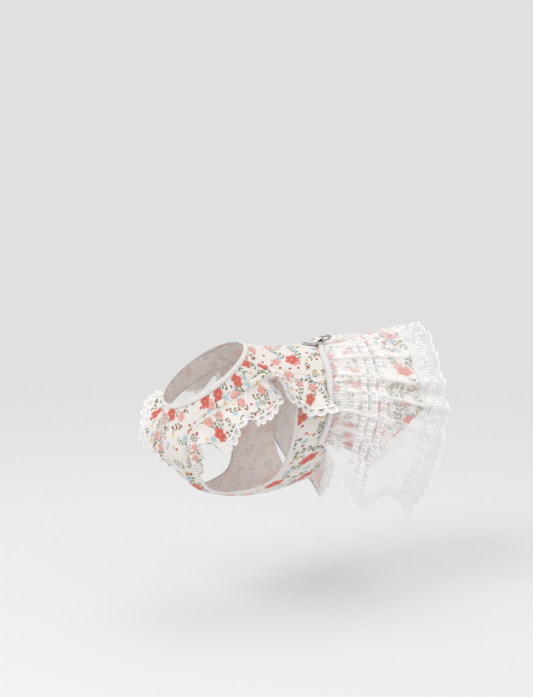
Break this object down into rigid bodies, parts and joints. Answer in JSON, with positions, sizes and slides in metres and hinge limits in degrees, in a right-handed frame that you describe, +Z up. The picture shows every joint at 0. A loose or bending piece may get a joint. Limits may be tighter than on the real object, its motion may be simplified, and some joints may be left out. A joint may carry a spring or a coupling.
{
  "type": "dog dress",
  "caption": "Small dog dress with a floral print bodice, lace-edged flutter ruffles round the armholes, a gathered print and tulle skirt, and a metal lead ring on a tab at the back of the waist.",
  "frame": {"origin": "on the spine, on the inner face of the back panel, where the wearer's back carries the dress", "axes": "+Z up, the wearer faces -Y so +Y runs to the rear hem, +X is the wearer's left side"},
  "size_m": [0.1544, 0.2522, 0.1659],
  "materials": {
    "print_cotton": "matte woven cotton with a small floral print",
    "white_tape": "matte woven tape",
    "white_lace": "matte openwork lace",
    "tulle": "sheer fine net",
    "dark_nickel": "dark bright plating"
  },
  "bodies": {
    "dress": {"back_panel": "print_cotton", "chest_panel": "print_cotton", "belly_band": "print_cotton", "neck_binding": "white_tape", "waist_binding": "white_tape", "armhole_binding_left": "white_tape", "armhole_binding_right": "white_tape", "ruffle_left": "print_cotton", "ruffle_right": "print_cotton", "ruffle_lace_left": "white_lace", "ruffle_lace_right": "white_lace", "print_skirt": "print_cotton", "print_skirt_lace": "white_lace", "tulle_skirt": "tulle", "tulle_border": "white_lace", "lace_row_1": "white_lace", "lace_row_2": "white_lace", "lace_row_3": "white_lace", "ring_tab": "print_cotton"},
    "ring": {"lead_ring": "dark_nickel"}
  },
  "joints": [
    {"name": "ring_swing", "type": "hinge", "parent": "dress", "child": "ring", "pos_m": [0, 0.02356, 0.00383], "axis": [1, 0, 0], "range_deg": [0, 150]}
  ]
}
